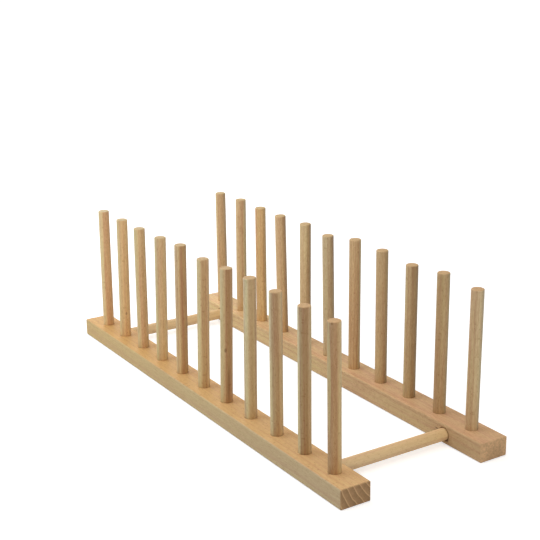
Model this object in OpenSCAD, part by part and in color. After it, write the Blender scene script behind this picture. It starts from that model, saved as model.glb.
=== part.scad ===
// Countertop plate rack of plain hardwood.
// Two rails lie side by side and carry a row of upright posts each. The posts stand in pairs, with
// an open slot between one pair and the next. Two crossbars tie the rails.
// Posts and crossbars are dowels, each seated and glued in blind sockets bored in the rails.
// X runs across the rack, Y along the rails with the front at -Y, and Z up. The origin is the
// middle of the footprint, level with the rails' undersides. Lengths are in millimetres.

/* [Rails] */
// Overall width of the rack, across both rails
rack_w = 148; // [100:1:250]
// Width of a rail, across the rack
rail_w = 25; // [17:0.5:45]
// Height of a rail
rail_h = 15; // [12.5:0.5:30]
// Length of a rail beyond the centre of its last post
rail_end = 24; // [10:1:60]
// Radius that softens the long edges of a rail
rail_edge_r = 1.2; // [0.4:0.1:2.5]
// Chamfer round the sawn ends of a rail
rail_end_chamfer = 0.5; // [0.2:0.1:2]

/* [Posts] */
// Number of posts in each row, one more than the slots
posts_per_row = 11; // [3:1:20]
// Distance between the centres of neighbouring posts
post_pitch = 36; // [25:1:70]
// Diameter of a post
post_d = 9.6; // [6:0.1:13]
// Nominal height of a post above its rail
post_rise = 108.5; // [50:0.5:180]
// Depth of the blind socket that seats a post
post_seat = 10; // [5:0.5:13]
// Radius that softens the top of a post
post_top_r = 0.8; // [0.3:0.1:2.5]

/* [Crossbars] */
// Diameter of a crossbar
crossbar_d = 9.5; // [6:0.1:12]
// Depth of the blind socket that seats a crossbar's end
crossbar_seat = 12; // [5:0.5:20]
// How far a crossbar lies nearer the end post than midway between the last two posts
crossbar_shift = 2; // [0:0.5:6]
// Chamfer that eases the mouth of a crossbar's socket
crossbar_mouth = 0.8; // [0.2:0.1:1.5]

/* [Dowel joints] */
// Thickness of the glue line between a dowel and its socket
glue_line = 0.05; // [0.03:0.01:0.15]
// Chamfer on the end of a dowel that goes into a socket
lead_in = 1; // [0.3:0.1:2]

/* [Hidden] */
$fn = 72;
// Length beyond a face by which a cut overshoots it
overcut = 1;

// Signs of the two sides and the two ends of the rack
left = -1;
right = 1;
front = -1;
rear = 1;

// The posts are cut and bored by hand, so each differs a little. The lists go from the front to the
// rear: extra height above the nominal one, and lean towards +X in degrees.
left_extra = [0.5, 0.5, 1, 1.5, -0.5, -2, 1, -1, -1, -1, -0.5];
right_extra = [-1, 2, -1, 2, 2.5, -2, 0, 0, -0.5, 0, -0.5];
left_lean = [-0.5, 0, 0, 0.5, 1.25, 1.25, 1, 1.25, 0.5, 1, 0.5];
right_lean = [0.25, 0, 0, -0.25, 0, -0.75, 0.25, -1, 0, 0.5, 0];

rail_l = (posts_per_row - 1) * post_pitch + 2 * rail_end;
rail_x = (rack_w - rail_w) / 2;
inner_face_x = rack_w / 2 - rail_w;
end_post_y = (posts_per_row - 1) * post_pitch / 2;
crossbar_y = end_post_y - post_pitch / 2 + crossbar_shift;

rail_colour = "#C9A072";
post_colour = "#B8935F";
crossbar_colour = "#CFAC78";

function post_name(row, i) = str(row, "_post_", i < 9 ? "0" : "", i + 1);

function post_y(i) = i * post_pitch - end_post_y;

// An entry of a list that starts again when a row has more posts than the list has entries
function pick(list, i) = list[i % len(list)];

function extra(side, i) = pick(side == left ? left_extra : right_extra, i);

function lean(side, i) = pick(side == left ? left_lean : right_lean, i);

// Puts its children on a post's axis: the origin goes to the middle of the socket's floor,
// and the lean turns about the middle of the socket's mouth.
module on_post_axis(side, i) {
    translate([side * rail_x, post_y(i), rail_h])
        rotate([0, lean(side, i), 0])
            translate([0, 0, -post_seat])
                children();
}

// Puts its children on a crossbar's axis: the origin goes to the floor of the socket in the rail
// on the given side, and +Z points towards the other rail.
module on_crossbar_axis(side, end) {
    translate([side * (inner_face_x + crossbar_seat), end * crossbar_y, rail_h / 2])
        rotate([0, -side * 90, 0])
            children();
}

// Outline with rounded corners, centred on X and standing on the X axis
module rounded_rectangle(w, h, r) {
    translate([-w / 2, r])
        square([w, h - 2 * r]);
    translate([-w / 2 + r, 0])
        square([w - 2 * r, h]);
    for (x = [r - w / 2, w / 2 - r], y = [r, h - r])
        translate([x, y])
            circle(r);
}

// Outline with cut corners, centred on X and standing on the X axis
module chamfered_rectangle(w, h, c) {
    polygon([
        [-w / 2, c], [-w / 2 + c, 0], [w / 2 - c, 0], [w / 2, c],
        [w / 2, h - c], [w / 2 - c, h], [-w / 2 + c, h], [-w / 2, h - c]
    ]);
}

// A length of planed bar along Y, with softened long edges and chamfered ends
module rail_blank() {
    intersection() {
        rotate([90, 0, 0])
            linear_extrude(rail_l, center = true)
                rounded_rectangle(rail_w, rail_h, rail_edge_r);
        translate([0, -rail_l / 2, -overcut])
            linear_extrude(rail_h + 2 * overcut)
                chamfered_rectangle(rail_w, rail_l, rail_end_chamfer);
        rotate([90, 0, 90])
            linear_extrude(rail_w + 2 * overcut, center = true)
                chamfered_rectangle(rail_l, rail_h, rail_end_chamfer);
    }
}

// Cutter for a blind socket, from its floor at the origin up past its mouth
module socket(d, depth) {
    cylinder(d = d + 2 * glue_line, h = depth + overcut);
}

// Cutter for the chamfer at a socket's mouth
module socket_mouth(d, depth, chamfer) {
    bore_r = d / 2 + glue_line;
    translate([0, 0, depth - chamfer])
        cylinder(r1 = bore_r, r2 = bore_r + chamfer + overcut, h = chamfer + overcut);
}

module rail(side) {
    color(rail_colour)
        difference() {
            translate([side * rail_x, 0, 0])
                rail_blank();
            for (i = [0 : posts_per_row - 1])
                on_post_axis(side, i)
                    socket(post_d, post_seat);
            for (end = [front, rear])
                on_crossbar_axis(side, end) {
                    socket(crossbar_d, crossbar_seat);
                    socket_mouth(crossbar_d, crossbar_seat, crossbar_mouth);
                }
        }
}

// A post stands on the floor of its socket. Its foot is chamfered and its top edge is rounded.
module post(side, i) {
    r = post_d / 2;
    length = post_seat + post_rise + extra(side, i);
    color(post_colour)
        on_post_axis(side, i)
            rotate_extrude() {
                polygon([[0, 0], [r - lead_in, 0], [r, lead_in], [r, length - post_top_r],
                         [0, length - post_top_r]]);
                square([r - post_top_r, length]);
                translate([r - post_top_r, length - post_top_r])
                    circle(post_top_r);
            }
}

// A crossbar reaches from the floor of one rail's socket to the floor of the other's.
module crossbar(end) {
    r = crossbar_d / 2;
    length = 2 * (inner_face_x + crossbar_seat);
    color(crossbar_colour)
        on_crossbar_axis(left, end)
            rotate_extrude()
                polygon([[0, 0], [r - lead_in, 0], [r, lead_in], [r, length - lead_in],
                         [r - lead_in, length], [0, length]]);
}

rail(left);  // left_rail
rail(right);  // right_rail
crossbar(front);  // front_crossbar
crossbar(rear);  // rear_crossbar
for (i = [0 : posts_per_row - 1]) {
    post(left, i);
    post(right, i);
}
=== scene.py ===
# Looks of a countertop plate rack: solid wood materials for its rails, crossbars and posts, on a
# pale floor in soft studio light. Lengths are in metres, except where a name ends in _MM or a
# comment says millimetres.
import math
from collections import namedtuple

import bpy
from mathutils import Euler, Matrix, Vector


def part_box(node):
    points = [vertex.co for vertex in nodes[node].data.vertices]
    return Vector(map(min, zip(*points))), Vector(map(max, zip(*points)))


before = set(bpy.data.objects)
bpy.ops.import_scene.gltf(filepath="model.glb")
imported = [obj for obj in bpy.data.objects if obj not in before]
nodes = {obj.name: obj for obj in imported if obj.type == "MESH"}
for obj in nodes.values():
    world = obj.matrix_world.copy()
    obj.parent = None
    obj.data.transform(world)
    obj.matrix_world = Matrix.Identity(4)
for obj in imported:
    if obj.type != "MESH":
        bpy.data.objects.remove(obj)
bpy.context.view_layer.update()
scene = bpy.context.scene

MM = 0.001

# Where the camera stands, how it is turned in degrees, how far it sees, and its lens
CAMERA_PLACE = Vector((-0.4723, -0.7502, 0.3734))
CAMERA_YAW = 32.34
CAMERA_PITCH = -17.04
CAMERA_ROLL = -0.738
CAMERA_REACH = 60.0
SENSOR_WIDTH_MM = 36
FOCAL_LENGTH_MM = 76.38


def make_camera():
    data = bpy.data.cameras.new("camera")
    data.sensor_width = SENSOR_WIDTH_MM
    data.lens = FOCAL_LENGTH_MM
    data.clip_end = CAMERA_REACH
    camera = bpy.data.objects.new("camera", data)
    scene.collection.objects.link(camera)
    aim = Euler((math.radians(90 + CAMERA_PITCH), 0, math.radians(-CAMERA_YAW))).to_matrix()
    tilt = Matrix.Rotation(math.radians(CAMERA_ROLL), 3, "Z")
    camera.matrix_world = Matrix.Translation(CAMERA_PLACE) @ (aim @ tilt).to_4x4()
    scene.camera = camera


class Shader:
    """Builds the node tree of one material or world. Sockets go in and sockets come out."""

    def __init__(self, owner):
        owner.use_nodes = True
        self.tree = owner.node_tree
        self.tree.nodes.clear()

    def node(self, kind, inputs=None, **settings):
        made = self.tree.nodes.new("ShaderNode" + kind)
        for key, value in settings.items():
            setattr(made, key, value)
        for key, value in (inputs or {}).items():
            self.feed(made.inputs[key], value)
        return made

    def feed(self, socket, value):
        if isinstance(value, bpy.types.NodeSocket):
            self.tree.links.new(value, socket)
        else:
            socket.default_value = value

    def math(self, operation, a, b=0.0, c=0.0, clamp=False):
        made = self.node("Math", {0: a, 1: b, 2: c}, operation=operation, use_clamp=clamp)
        return made.outputs[0]

    def add(self, a, b):
        return self.math("ADD", a, b)

    def times(self, a, b):
        return self.math("MULTIPLY", a, b)

    def total(self, *parts):
        """Sum of the values in pairs of a value and its weight, each times its weight."""
        result = 0.0
        for value, weight in parts:
            result = self.math("MULTIPLY_ADD", value, weight, result)
        return result

    def vector(self, x, y, z):
        return self.node("CombineXYZ", {0: x, 1: y, 2: z}).outputs[0]

    def scaled(self, vector, scale):
        made = self.node("VectorMath", {0: vector, 1: scale}, operation="MULTIPLY")
        return made.outputs[0]

    def shifted(self, vector, shift):
        made = self.node("VectorMath", {0: vector, 1: shift}, operation="ADD")
        return made.outputs[0]

    def length(self, vector):
        return self.node("VectorMath", {0: vector}, operation="LENGTH").outputs["Value"]

    def step(self, value, start, end, low=0.0, high=1.0):
        """Smooth step from low at start to high at end. Start may lie above end."""
        made = self.node(
            "MapRange",
            {"Value": value, "From Min": start, "From Max": end, "To Min": low, "To Max": high},
            interpolation_type="SMOOTHSTEP",
        )
        return made.outputs["Result"]

    def noise(self, vector, detail, roughness):
        """Noise centred on 0, about -0.5 to 0.5, at one feature per unit of the vector."""
        made = self.node(
            "TexNoise",
            {"Vector": vector, "Scale": 1.0, "Detail": detail, "Roughness": roughness},
        )
        return self.math("SUBTRACT", made.outputs[0], 0.5)

    def cells(self, vector):
        """Distance to the nearest cell point, one cell per unit of the vector."""
        made = self.node("TexVoronoi", {"Vector": vector, "Scale": 1.0})
        return made.outputs["Distance"]

    def mix(self, factor, a, b, blend="MIX"):
        """Mix of two colours, by the sockets that the node keeps for colours."""
        made = self.node("Mix", data_type="RGBA", blend_type=blend)
        self.feed(made.inputs[0], factor)
        self.feed(made.inputs[6], a)
        self.feed(made.inputs[7], b)
        return made.outputs[2]

    def tinted(self, colour, tint, factor=1.0):
        """A colour times a tint, as far as the factor says."""
        return self.mix(factor, colour, tint, "MULTIPLY")

    def brighter(self, colour, gain):
        """A colour times a number."""
        made = self.node("VectorMath", {0: colour, "Scale": gain}, operation="SCALE")
        return made.outputs[0]


# Wood

# Colours of planed beech: the pale early wood, the darker late wood and the end grain
EARLY_WOOD = (0.620, 0.405, 0.205)
LATE_WOOD = (0.455, 0.262, 0.118)
END_WOOD = (0.554, 0.348, 0.170)

# Tints: pinker and yellower parts of the wood, its flecks, and painted shade in the corners between
# pieces
PINK = (1.03, 0.96, 0.99)
YELLOW = (0.98, 1.03, 0.92)
FLECK = (0.66, 0.54, 0.46)
CREVICE_SHADE = (0.42, 0.26, 0.15)

# Colour of knots, cracks, chips, dark patches and painted shadows
KNOT_AND_SHADOW = (0.16, 0.08, 0.035)

# Noise in the wood: its features per millimetre, along X and Y, which cross the grain, and along Z,
# which follows it, and its detail and roughness
Noise = namedtuple("Noise", "scale detail roughness")
WANDER = Noise((0.05, 0.05, 0.008), 2.0, 0.5)
RIPPLE = Noise((0.25, 0.25, 0.03), 2.0, 0.5)
FINE_FIBRES = Noise((1.6, 1.6, 0.035), 4.0, 0.65)
STREAKS = Noise((0.55, 0.55, 0.012), 3.0, 0.55)
DASHES = Noise((1.1, 1.1, 0.22), 3.0, 0.7)
CLOUDS = Noise((0.06, 0.06, 0.018), 2.0, 0.5)
MOTTLE = Noise((0.55, 0.55, 0.2), 4.0, 0.75)

# Flecks, one to a cell: cells per millimetre, the distances from a cell's point, in cells, at which
# a fleck starts and is full, and its strength. The rays' scale runs around the pith, away from it
# and along the grain.
Flecks = namedtuple("Flecks", "scale rim core strength")
RAYS = Flecks((1.1, 0.09, 0.32), 0.30, 0.12, 0.42)
PORES = Flecks((3.2, 3.2, 0.22), 0.32, 0.16, 0.22)
VESSELS = Flecks((1.5, 1.5, 0.3), 0.45, 0.15, 0.35)

# Shift of the noise and flecks from one seed to the next
SEED_SHIFT_MM = (17.0, 31.0, 67.0)

# How far the growth rings stray, and the shares of a ring at which late wood starts and is full
WANDER_MM = 4.0
RIPPLE_MM = 0.5
LATE_START = 0.45
LATE_FULL = 0.97

# Share of late wood in the colour: its base, and the weights of fine fibres, streaks and dashes
BASE_LATE = 0.30
LATE_BY_FINE = 0.7
LATE_BY_STREAKS = 0.7
LATE_BY_DASHES = 1.4

# Share of pink in the hue: its base, and the weights of clouds, the rings' tones and lines, and
# streaks
BASE_PINK = 0.45
PINK_BY_CLOUDS = 2.0
PINK_BY_BANDS = 1.1
PINK_BY_LINES = 1.5
PINK_BY_STREAKS = 0.8

# How squarely a face turns to the left or right, or along the grain, where the look of a side or of
# an end starts and where it is full
SIDE_FACING = (0.35, 0.65)
END_FACING = (0.45, 0.85)

# Pale lines of the end grain: the shares of a ring between which one rises and falls, and the
# change of brightness across a ring
END_LINE_RISE = (0.78, 0.88)
END_LINE_FALL = (1.0, 0.93)
END_BAND = 0.4

# Dowels' stripes, partly the wood's own streaks and partly painted light and shade: the direction
# across a dowel in which they are laid out, from the camera's left to its right, as an angle in
# degrees from X towards -Y, the width of their soft edges, and how far they stray
STRIPE_ANGLE = 32.34
STRIPE_EDGE_MM = 1.8
STRAY_BY_STREAKS_MM = 2.2
STRAY_BY_WANDER_MM = 1.5

# Powers of a gain in red, green and blue that make a darker stripe redder
SHADE_HUE = (1.0, 1.4, 1.6)

# Marks: radius at which one is full and how much its outline ripples, as shares of its width
MARK_CORE = 0.15
MARK_RIPPLE = 0.3

# Edge gain: the distances from an arris and from a rim at which it starts and is full. Paler is wear,
# darker is painted shade. Patchy: between two levels of the ripple it grows from its least share to
# all.
ARRIS_MM = (1.8, 0.5)
RIM_MM = (1.3, 0.3)
EDGE_RIPPLE = (-0.35, 0.25)
EDGE_LEAST = 0.25

# Painted shade in the corners between pieces: its reach, the openness at which it starts and is full,
# its strength, and the samples that find the openness
CREVICE_REACH = 0.0022
CREVICE_OPEN = 0.70
CREVICE_SHUT = 0.28
CREVICE_STRENGTH = 0.8
CREVICE_SAMPLES = 8

# Relief: its strength and depth, and the shares of the depth by which parts stand out or sink
RELIEF_STRENGTH = 0.35
RELIEF_DEPTH = 0.00012
RELIEF_OF_FINE = 0.6
RELIEF_OF_DASHES = 0.3
RELIEF_OF_PORES = -0.35
RELIEF_OF_RAYS = -0.2
RELIEF_OF_VESSELS = -0.6

# Finish of the bare wood, and what its parts add to the roughness
SPECULAR = 0.16
ROUGHNESS = 0.58
ROUGHER_BY_FINE = 0.22
ROUGHER_BY_LATE = -0.05
ROUGHER_BY_END = 0.16

# Where a piece lies: its centre, the turn that carries Z onto its grain, and a seed
Piece = namedtuple("Piece", "centre turn seed")

# How a piece was cut from its log: place of the pith in millimetres from the piece's centre,
# width of a growth ring, and strengths of the rings' lines, the rings' tones, clouds and fibres
Cut = namedtuple("Cut", "pith ring_mm lines bands clouds fibres")

# A tint and its relative change over a metre along the grain
Tone = namedtuple("Tone", "tint drift")
PLAIN = Tone((1.0, 1.0, 1.0), (0.0, 0.0, 0.0))

# How a piece looks: the tone of its wood, the further tone of its faces to the left and right, partly
# their own cut and partly painted light and shade, its end grain, the gain on its edges and its
# stripes
Look = namedtuple("Look", "body sides end worn stripes")

# End grain: tint, strength of the pale lines between the rings, and mottling
End = namedtuple("End", "tint lines mottle")

# A lengthwise stripe of a dowel, partly the wood's own streak and partly painted light and shade:
# where it starts and ends across the dowel in millimetres, and its tint
Stripe = namedtuple("Stripe", "start end tint")

# A knot, a crack, a chip, a dark patch or a painted shadow: its place in the frame, its width and its
# length along the grain, all in millimetres, and its strength
Mark = namedtuple("Mark", "place width length strength")


def rgba(colour):
    return (*colour, 1.0)


def shade(gain):
    """Tint of a darker or paler stripe, partly the wood's own tone and partly painted shade and
    light. The darker it is, the redder it is.
    """
    return tuple(gain ** power for power in SHADE_HUE)


class Wood:
    """Solid wood, cut from a log whose pith runs along the grain."""

    def __init__(self, name, piece, cut, look):
        self.material = bpy.data.materials.new(name)
        self.shader = Shader(self.material)
        self.piece = piece
        self.cut = cut
        self.look = look
        self.place()
        self.rings()
        self.fibres()

    def place(self):
        """Coordinates in millimetres from the piece's centre, with the grain along their Z."""
        s = self.shader
        mapping = s.node(
            "Mapping",
            {
                "Vector": s.node("TexCoord").outputs["Object"],
                "Location": self.piece.centre,
                "Rotation": self.piece.turn,
                "Scale": (MM, MM, MM),
            },
            vector_type="TEXTURE",
        )
        self.point = mapping.outputs[0]
        self.x, self.y, self.z = s.node("SeparateXYZ", {0: self.point}).outputs
        self.seeded = s.shifted(self.point, [shift * self.piece.seed for shift in SEED_SHIFT_MM])

    def noise(self, kind):
        s = self.shader
        return s.noise(s.scaled(self.seeded, kind.scale), kind.detail, kind.roughness)

    def flecks(self, kind, space):
        """Mask of one kind of flecks, in a space whose unit is a cell."""
        s = self.shader
        return s.step(s.cells(space), kind.rim, kind.core)

    def rings(self):
        """Growth rings round the pith, and the place in the log as seen from the pith."""
        s = self.shader
        pith_x, pith_y = self.cut.pith
        self.wander = self.noise(WANDER)
        self.ripple = self.noise(RIPPLE)
        away_x = s.math("SUBTRACT", self.x, pith_x)
        away_y = s.math("SUBTRACT", self.y, pith_y)
        radius = s.length(s.vector(away_x, away_y, 0.0))
        radius = s.total((radius, 1.0), (self.wander, WANDER_MM), (self.ripple, RIPPLE_MM))
        facing = math.atan2(-pith_y, -pith_x)
        ahead = s.total((away_x, math.cos(facing)), (away_y, math.sin(facing)))
        beside = s.total((away_y, math.cos(facing)), (away_x, -math.sin(facing)))
        around = s.times(s.math("ARCTAN2", beside, ahead), math.hypot(pith_x, pith_y))
        self.in_log = s.vector(around, radius, self.z)

        rings = s.math("DIVIDE", radius, self.cut.ring_mm)
        self.ring_place = s.math("FRACT", rings)
        rise = s.step(self.ring_place, LATE_START, LATE_FULL)
        self.late = s.times(rise, s.step(self.ring_place, 1.0, LATE_FULL))
        number = s.add(s.math("FLOOR", rings), self.piece.seed)
        tone = s.node("TexWhiteNoise", {"W": number}, noise_dimensions="1D").outputs["Value"]
        self.ring_tone = s.math("SUBTRACT", tone, 0.5)

    def fibres(self):
        """Fibres, long streaks, short dashes, cloudy variation, rays and pores."""
        s = self.shader
        seed = self.piece.seed
        self.fine = self.noise(FINE_FIBRES)
        self.streaks = self.noise(STREAKS)
        self.dashes = self.noise(DASHES)
        self.clouds = self.noise(CLOUDS)
        ray_space = s.shifted(s.scaled(self.in_log, RAYS.scale), (seed, seed, seed))
        self.rays = self.flecks(RAYS, ray_space)
        self.pores = self.flecks(PORES, s.scaled(self.seeded, PORES.scale))

    def long_grain(self):
        """Colour of a surface that runs along the grain."""
        s = self.shader
        cut = self.cut
        threads = s.total(
            (self.fine, LATE_BY_FINE),
            (self.streaks, LATE_BY_STREAKS),
            (self.dashes, LATE_BY_DASHES),
        )
        share = s.total(
            (self.late, cut.lines),
            (self.ring_tone, cut.bands),
            (self.clouds, cut.clouds),
            (threads, cut.fibres),
        )
        share = s.math("ADD", share, BASE_LATE, clamp=True)
        colour = s.mix(share, rgba(EARLY_WOOD), rgba(LATE_WOOD))
        pink = s.total(
            (self.clouds, PINK_BY_CLOUDS * cut.clouds),
            (self.ring_tone, PINK_BY_BANDS * cut.bands),
            (self.streaks, PINK_BY_STREAKS),
            (self.late, PINK_BY_LINES * cut.lines),
        )
        pink = s.math("ADD", pink, BASE_PINK, clamp=True)
        colour = s.tinted(colour, s.mix(pink, rgba(YELLOW), rgba(PINK)))
        colour = s.tinted(colour, self.along(self.look.body))
        if self.look.sides != PLAIN:
            colour = self.with_side_tone_and_light(colour, self.look.sides)
        for stripe in self.look.stripes:
            colour = self.striped(colour, stripe)
        colour = s.tinted(colour, rgba(FLECK), s.times(self.rays, RAYS.strength))
        return s.tinted(colour, rgba(FLECK), s.times(self.pores, PORES.strength))

    def along(self, tone):
        """The tint of a tone, which changes along the grain."""
        s = self.shader
        pairs = zip(tone.tint, tone.drift)
        return s.vector(*[s.add(s.times(self.z, gain * slope * MM), gain) for gain, slope in pairs])

    def with_side_tone_and_light(self, colour, tone):
        """Another tone on the faces to the left and right: partly the rings cut otherwise there,
        partly painted light and shade.
        """
        s = self.shader
        normal = s.node("TexCoord").outputs["Normal"]
        across = s.node("SeparateXYZ", {0: normal}).outputs[0]
        side = s.step(s.math("ABSOLUTE", across), *SIDE_FACING)
        return s.tinted(colour, self.along(tone), side)

    def striped(self, colour, stripe):
        s = self.shader
        angle = math.radians(STRIPE_ANGLE)
        across = s.total(
            (self.x, math.cos(angle)),
            (self.y, -math.sin(angle)),
            (self.streaks, STRAY_BY_STREAKS_MM),
            (self.wander, STRAY_BY_WANDER_MM),
        )
        half = STRIPE_EDGE_MM / 2
        inside = s.step(across, stripe.start - half, stripe.start + half)
        inside = s.times(inside, s.step(across, stripe.end + half, stripe.end - half))
        return s.tinted(colour, rgba(stripe.tint), inside)

    def with_marks(self, colour, marks):
        s = self.shader
        upright = Euler(self.piece.turn).to_matrix().inverted()
        for mark in marks:
            place = upright @ (Vector(mark.place) * MM - self.piece.centre) / MM
            away = s.scaled(s.shifted(self.point, -place), (1.0, 1.0, mark.width / mark.length))
            away = s.total((s.length(away), 1.0), (self.ripple, MARK_RIPPLE * mark.width))
            there = s.step(away, mark.width / 2, MARK_CORE * mark.width, 0.0, mark.strength)
            colour = s.mix(there, colour, rgba(KNOT_AND_SHADOW))
        return colour

    def with_end_grain(self, colour):
        """End grain where the surface crosses the fibres."""
        s = self.shader
        normal = s.node("TexCoord").outputs["Normal"]
        grain = Euler(self.piece.turn).to_matrix() @ Vector((0, 0, 1))
        across = s.node("VectorMath", {0: normal, 1: grain}, operation="DOT_PRODUCT").outputs["Value"]
        self.end = s.step(s.math("ABSOLUTE", across), *END_FACING)
        self.vessels = self.flecks(VESSELS, s.scaled(self.seeded, VESSELS.scale))
        end = self.look.end
        base = [channel * part for channel, part in zip(END_WOOD, end.tint)]
        centred = s.add(self.ring_place, -0.5)
        uneven = s.total((self.noise(MOTTLE), end.mottle), (centred, END_BAND * end.lines))
        end_colour = s.brighter(base, s.add(uneven, 1.0))
        end_colour = s.tinted(end_colour, rgba(FLECK), s.times(self.vessels, VESSELS.strength))
        rise = s.step(self.ring_place, *END_LINE_RISE)
        line = s.times(rise, s.step(self.ring_place, *END_LINE_FALL))
        end_colour = s.mix(s.times(line, end.lines), end_colour, rgba(EARLY_WOOD))
        return s.mix(self.end, colour, end_colour)

    def with_edge_wear_and_shade(self, colour, worn):
        """A patchy gain on the edges: paler where worn, darker where it is painted shade."""
        s = self.shader
        patches = s.step(self.ripple, *EDGE_RIPPLE, EDGE_LEAST, 1.0)
        mask = s.times(worn(s, self.x, self.y, self.z), patches)
        return s.brighter(colour, s.add(s.times(mask, self.look.worn - 1), 1.0))

    def with_painted_crevice_shade(self, colour):
        """Painted shade in the corners between pieces, such as between a dowel and its socket."""
        s = self.shader
        sky = s.node("AmbientOcclusion", {"Distance": CREVICE_REACH}, samples=CREVICE_SAMPLES)
        painted_shade = s.step(sky.outputs["AO"], CREVICE_OPEN, CREVICE_SHUT, 0.0, CREVICE_STRENGTH)
        return s.tinted(colour, rgba(CREVICE_SHADE), painted_shade)

    def finish(self, worn=None, marks=()):
        """The finished material. Its first argument makes the mask of its edges, and marks lists its
        marks.
        """
        s = self.shader
        colour = self.with_end_grain(self.long_grain())
        colour = self.with_marks(colour, marks)
        if worn:
            colour = self.with_edge_wear_and_shade(colour, worn)
        colour = self.with_painted_crevice_shade(colour)
        height = s.total(
            (self.fine, RELIEF_OF_FINE),
            (self.pores, RELIEF_OF_PORES),
            (self.rays, RELIEF_OF_RAYS),
            (self.dashes, RELIEF_OF_DASHES),
            (s.times(self.vessels, self.end), RELIEF_OF_VESSELS),
        )
        bump = s.node(
            "Bump",
            {"Strength": RELIEF_STRENGTH, "Distance": RELIEF_DEPTH, "Height": height},
        )
        rougher = s.total(
            (self.fine, ROUGHER_BY_FINE),
            (self.late, ROUGHER_BY_LATE),
            (self.end, ROUGHER_BY_END),
        )
        surface = s.node(
            "BsdfPrincipled",
            {
                "Base Color": colour,
                "Roughness": s.math("ADD", rougher, ROUGHNESS, clamp=True),
                "Specular IOR Level": SPECULAR,
                "Normal": bump.outputs[0],
            },
        )
        s.node("OutputMaterial", {"Surface": surface.outputs[0]})
        return self.material


def dress(node, material):
    mesh = nodes[node].data
    mesh.materials.clear()
    mesh.materials.append(material)


def middle(node):
    low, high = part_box(node)
    return (low + high) / 2


def size_mm(node):
    low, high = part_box(node)
    return (high - low) / MM


# A post's corners within this height are those of its foot or its top
POST_END_MM = 0.5


def post_turn(node):
    """Turn that carries Z onto a post's own axis, from the centres of its foot and its top."""
    corners = [v.co for v in nodes[node].data.vertices]
    low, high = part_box(node)
    foot = [c for c in corners if c.z < low.z + POST_END_MM * MM]
    top = [c for c in corners if c.z > high.z - POST_END_MM * MM]
    axis = sum(top, Vector()) / len(top) - sum(foot, Vector()) / len(foot)
    return Vector((0, 0, 1)).rotation_difference(axis).to_euler()


def bar_arrises(width, height):
    """Mask of a bar's long arrises, for a bar of the given width and height in millimetres."""

    def mask(s, x, y, z):
        in_x = s.math("SUBTRACT", width / 2, s.math("ABSOLUTE", x))
        in_y = s.math("SUBTRACT", height / 2, s.math("ABSOLUTE", y))
        return s.step(s.math("MAXIMUM", in_x, in_y), *ARRIS_MM)

    return mask


def dowel_rim(width, height):
    """Mask of the rim at a dowel's top, for a dowel of the given size in millimetres."""

    def mask(s, x, y, z):
        in_side = s.math("SUBTRACT", width / 2, s.length(s.vector(x, y, 0.0)))
        in_top = s.math("SUBTRACT", height / 2, z)
        return s.step(s.math("MAXIMUM", in_side, in_top), *RIM_MM)

    return mask


# Knots, cracks, chips, dark patches and painted shadows, by the node that has them
MARKS = {
    "left_post_01": [Mark((-66.3, -182.8, 123.2), 2.4, 3.0, 0.58)],
    "left_post_05": [
        Mark((-63.6, -39.7, 58.5), 3.0, 5.0, 0.60),
        Mark((-61.9, -40.8, 32.0), 3.4, 44.0, 0.45),
    ],
    "left_post_10": [Mark((-61.9, 139.3, 36.7), 2.4, 4.0, 0.50)],
    "left_rail": [Mark((-67.0, -180.5, 15.0), 2.4, 3.0, 0.58)],
    "right_rail": [
        Mark((49.0, -156.0, 9.5), 1.8, 6.0, 0.80),
        # Painted shadow: the dark gap at the lower front of the front crossbar's socket
        Mark((49.3, -168.0, 4.2), 5.6, 3.6, 0.85),
        # Painted shadow of the front crossbar, low on the inner side towards the front end
        Mark((49.0, -184.0, 3.0), 14.0, 34.0, 0.12),
        Mark((63.0, -204.0, 2.0), 25.0, 10.0, 0.20),
    ],
}


def marks_of(node):
    return MARKS.get(node, ())


# Rails

RAIL_TURN = (math.radians(-90), 0, 0)
RAIL_SEED = 3.0
RAILS = {
    "left_rail": (
        Cut((33, -20), 4.7, lines=0.20, bands=0.06, clouds=0.15, fibres=0.90),
        Look(
            body=Tone((1.07, 1.02, 0.88), (-0.15, -0.35, -1.05)),
            # Painted light on the left rail's sides: a cool sheen and cooler light from the left,
            # paler towards the rear
            sides=Tone((0.83, 0.99, 1.21), (0.5, 0.5, 0.5)),
            end=End((0.69, 0.66, 0.67), 0.8, 0.5),
            worn=1.0,
            stripes=[],
        ),
    ),
    "right_rail": (
        Cut((40, 85), 4.2, lines=0.30, bands=0.30, clouds=0.70, fibres=1.50),
        Look(
            body=Tone((1.12, 1.12, 1.20), (0.55, 0.85, 0.60)),
            # Painted shade on the right rail's sides, darker towards the front
            sides=Tone((0.91, 0.97, 0.96), (0.3, 0.25, 0.35)),
            end=End((1.18, 1.20, 1.31), 0.0, 1.3),
            # Painted shade: the right rail's arrises are darker, against the light on their rounded
            # edges
            worn=0.95,
            stripes=[],
        ),
    ),
}


def make_rails():
    for i, (node, (cut, look)) in enumerate(RAILS.items()):
        size = size_mm(node)
        piece = Piece(middle(node), RAIL_TURN, RAIL_SEED + i)
        wood = Wood(node + "_wood", piece, cut, look)
        dress(node, wood.finish(bar_arrises(size.x, size.z), marks_of(node)))


# Crossbars

CROSSBAR_TURN = (0, math.radians(90), 0)
CROSSBAR_SEED = 20.0
CROSSBAR_CUT = Cut((30, 40), 3.0, lines=0.20, bands=0.10, clouds=0.25, fibres=0.50)
CROSSBAR_LOOK = Look(
    body=Tone((1.31, 1.46, 1.66), (-0.6, -1.0, -2.2)),
    sides=PLAIN,
    end=End((1.30, 1.46, 1.60), 0.2, 0.5),
    worn=1.0,
    # Painted light and shade: the bar's upper rear half darker and its lower front half paler
    stripes=[Stripe(-7, -0.5, shade(0.95)), Stripe(0.5, 7, shade(1.05))],
)


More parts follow.
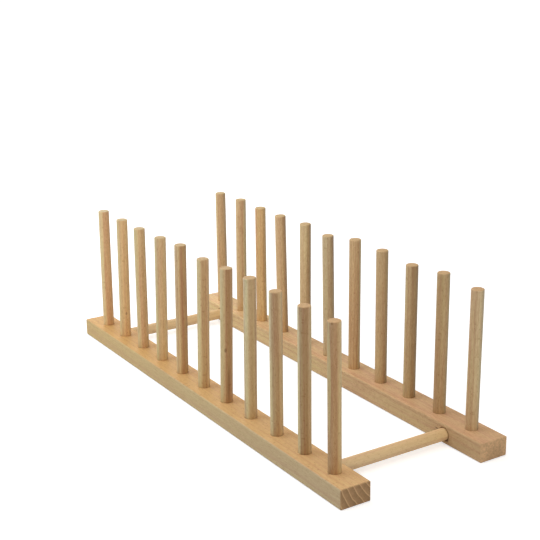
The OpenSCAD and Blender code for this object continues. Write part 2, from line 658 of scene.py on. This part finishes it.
def make_crossbars():
    for i, node in enumerate(("front_crossbar", "rear_crossbar")):
        piece = Piece(middle(node), CROSSBAR_TURN, CROSSBAR_SEED + i)
        dress(node, Wood(node + "_wood", piece, CROSSBAR_CUT, CROSSBAR_LOOK).finish())


# Posts

# Hues of the posts' wood, from pale sapwood to warm heartwood
ASH = (1.00, 1.20, 1.40)
STRAW = (1.00, 1.12, 1.20)
TAN = (1.00, 1.07, 1.15)
AMBER = (1.00, 1.03, 1.05)
HONEY = (1.00, 1.02, 0.95)

# Stripes of the posts, named by where they lie across a post: partly the wood's own streaks and
# partly painted shade and light
DARK_LEFT = Stripe(-7, -1, shade(0.82))
DARK_MIDDLE = Stripe(-3.5, 2, shade(0.72))
DEEP_MIDDLE = Stripe(-3.5, 2.5, shade(0.64))
DUSKY_LINE = Stripe(-1, 2.5, shade(0.85))
DARK_LINE = Stripe(-0.5, 3, shade(0.75))
DARK_HALF = Stripe(-0.5, 7, shade(0.78))
DARK_RIGHT = Stripe(1.5, 7, shade(0.80))
PALE_MIDDLE = Stripe(-3, 1, shade(1.15))
PALE_LINE = Stripe(-1, 2, shade(1.15))
PALE_HALF = Stripe(-1, 7, shade(1.15))
PALE_RIGHT = Stripe(2, 7, shade(1.15))
# Painted light on every post of a row: cooler light on the flanks, warmer shade in the middle
PAINTED_COOL_LEFT = Stripe(-7, -2.5, (0.94, 1.02, 1.05))
PAINTED_WARM_MIDDLE = Stripe(-1, 3.5, (1.01, 0.94, 0.90))
PAINTED_COOL_RIGHT = Stripe(3, 7, (0.86, 0.96, 1.04))

# Each post's wood: its hue, its gain and its own stripes
LEFT_WOODS = [
    (STRAW, 1.00, [DARK_LEFT, DUSKY_LINE, PALE_RIGHT]),
    (ASH, 1.05, [DEEP_MIDDLE]),
    (ASH, 1.10, [DARK_MIDDLE]),
    (ASH, 1.05, [DUSKY_LINE]),
    (TAN, 0.95, [DARK_LINE]),
    (STRAW, 1.05, [DUSKY_LINE, PALE_RIGHT]),
    (TAN, 1.05, [DARK_HALF]),
    (TAN, 1.00, [PALE_HALF]),
    (TAN, 1.05, [PALE_LINE]),
    (AMBER, 1.10, [PALE_HALF]),
    (TAN, 1.20, []),
]
RIGHT_WOODS = [
    (ASH, 1.15, [DARK_LEFT]),
    (STRAW, 0.95, [DARK_LEFT]),
    (STRAW, 0.90, [DARK_HALF]),
    (TAN, 0.95, [DARK_RIGHT]),
    (AMBER, 0.95, [PALE_MIDDLE]),
    (ASH, 1.00, [DARK_RIGHT]),
    (STRAW, 1.05, [PALE_MIDDLE, DARK_RIGHT]),
    (STRAW, 1.20, [DARK_RIGHT]),
    (HONEY, 1.15, [PALE_LINE]),
    (TAN, 1.10, []),
    (TAN, 1.10, []),
]

# A row of posts from the front to the rear: its side, its woods, the tints of its sawn tops at the
# front and at the rear, and the stripes of painted light that all its posts have
Row = namedtuple("Row", "side woods front_top rear_top stripes")
ROWS = [
    Row("left", LEFT_WOODS, (0.90, 0.89, 0.92), (0.93, 1.13, 1.30), [PAINTED_COOL_LEFT, PAINTED_WARM_MIDDLE]),
    Row("right", RIGHT_WOODS, (0.89, 0.89, 0.94), (0.94, 1.07, 1.10), [PAINTED_COOL_RIGHT]),
]

# The posts grow paler towards their tops
POST_DRIFT = (0.0, 0.5, 1.4)

# The posts' sawn tops, with faint pale lines and mottling, and the gain on their worn rims
POST_END_LINES = 0.2
POST_MOTTLE = 0.5
POST_WORN = 1.03

# Seed of the first post, and the seeds' step from one row to the next
POST_SEED = 40.0
ROW_SEED_STEP = 13.0

# How the posts were cut: distance of the pith, its turn in radians from one post to the next, the
# number of such turns from one row to the next, and the rings' width, which grows by a step from
# post to post and starts again after a few
PITH_AWAY_MM = 55
PITH_TURN = 2.4
TURNS_PER_ROW = 5
RING_MM = 2.6
RING_STEP_MM = 0.35
RING_STEPS = 4


def scaled_tint(tint, gain):
    return tuple(channel * gain for channel in tint)


def between(front, rear, share):
    return tuple(a + (b - a) * share for a, b in zip(front, rear))


def post_cut(number, i):
    """How post i was cut, in the row of the given number."""
    facing = PITH_TURN * (i + TURNS_PER_ROW * number)
    pith = (PITH_AWAY_MM * math.cos(facing), PITH_AWAY_MM * math.sin(facing))
    ring = RING_MM + RING_STEP_MM * (i % RING_STEPS)
    return Cut(pith, ring, lines=0.30, bands=0.45, clouds=0.50, fibres=1.3)


def post_look(row, i):
    """How post i of a row looks."""
    hue, gain, stripes = row.woods[i]
    body = Tone(scaled_tint(hue, gain), POST_DRIFT)
    top = between(row.front_top, row.rear_top, i / (len(row.woods) - 1))
    end = End(top, POST_END_LINES, POST_MOTTLE)
    return Look(body, PLAIN, end, POST_WORN, row.stripes + stripes)


def make_posts():
    for number, row in enumerate(ROWS):
        for i in range(len(row.woods)):
            node = f"{row.side}_post_{i + 1:02d}"
            size = size_mm(node)
            seed = POST_SEED + ROW_SEED_STEP * number + i
            piece = Piece(middle(node), post_turn(node), seed)
            wood = Wood(node + "_wood", piece, post_cut(number, i), post_look(row, i))
            dress(node, wood.finish(dowel_rim(size.y, size.z), marks_of(node)))


# Floor, world and lamps

# The floor's size, how far it lies below the rack, and its grey
FLOOR_SIZE = 40.0
FLOOR_DROP = 0.0001
FLOOR_GREY = 0.78

# The floor's glow as seen directly, near the rack and far from it, and between which distances it
# changes
GLOW_NEAR = 0.48
GLOW_FAR = 1.0
GLOW_FROM = 0.3
GLOW_TO = 1.5

# Light from the world, as a share of white
AMBIENT = 0.12


def seen_directly(s):
    """1 for rays that show the background, to the camera or in a reflection, and 0 for light."""
    path = s.node("LightPath")
    seen = s.math("MAXIMUM", path.outputs["Is Camera Ray"], path.outputs["Is Glossy Ray"])
    return s.math("MAXIMUM", seen, path.outputs["Is Transmission Ray"])


def make_floor():
    """A pale floor that keeps the rack's shadow and fades into the white background."""
    half = FLOOR_SIZE / 2
    corners = [(-half, -half, 0), (half, -half, 0), (half, half, 0), (-half, half, 0)]
    mesh = bpy.data.meshes.new("floor")
    mesh.from_pydata(corners, [], [(0, 1, 2, 3)])
    floor = bpy.data.objects.new("floor", mesh)
    floor.location.z = -FLOOR_DROP
    scene.collection.objects.link(floor)

    material = bpy.data.materials.new("floor")
    s = Shader(material)
    away = s.length(s.node("NewGeometry").outputs["Position"])
    glow = s.step(away, GLOW_FROM, GLOW_TO, GLOW_NEAR, GLOW_FAR)
    matt = s.node("BsdfDiffuse", {"Color": rgba((FLOOR_GREY,) * 3)})
    shown = s.node("Emission", {"Strength": s.times(seen_directly(s), glow)})
    both = s.node("AddShader", {0: matt.outputs[0], 1: shown.outputs[0]})
    s.node("OutputMaterial", {"Surface": both.outputs[0]})
    mesh.materials.append(material)


def make_world():
    """A world that shows as white and gives little light."""
    world = bpy.data.worlds.new("studio")
    scene.world = world
    s = Shader(world)
    strength = s.step(seen_directly(s), 0.0, 1.0, AMBIENT, 1.0)
    background = s.node("Background", {"Color": rgba((1.0, 1.0, 1.0)), "Strength": strength})
    s.node("OutputWorld", {"Surface": background.outputs[0]})


# Soft lamps: place, width, irradiance at the target as a share of white, and tint
LAMP_TARGET = Vector((0, 0, 0.05))
LAMPS = {
    "top_front": ((0.0, -0.35, 0.90), 1.0, 0.51, (1.0, 0.98, 0.95)),
    "top_rear": ((0.0, 0.40, 0.90), 1.0, 0.13, (1.0, 0.98, 0.95)),
    "left_rear": ((-0.60, 0.40, 0.60), 0.9, 0.64, (0.90, 1.0, 1.09)),
    "back": ((0.10, 0.90, 0.45), 0.9, 0.42, (1.0, 1.0, 1.0)),
    "front": ((-0.50, -0.85, 0.60), 0.9, 0.22, (1.0, 0.97, 0.93)),
}


def make_lamps():
    for name, (place, width, level, tint) in LAMPS.items():
        place = Vector(place)
        away = (place - LAMP_TARGET).length
        data = bpy.data.lights.new(name, "AREA")
        data.shape = "DISK"
        data.size = width
        data.color = tint
        # White shows as white at an irradiance of pi, and a lamp gives energy / (pi * away ** 2)
        data.energy = level * math.pi ** 2 * away ** 2
        lamp = bpy.data.objects.new(name, data)
        lamp.location = place
        lamp.rotation_euler = (LAMP_TARGET - place).to_track_quat("-Z", "Y").to_euler()
        scene.collection.objects.link(lamp)


scene.view_settings.view_transform = "Standard"
make_camera()
make_rails()
make_crossbars()
make_posts()
make_floor()
make_world()
make_lamps()
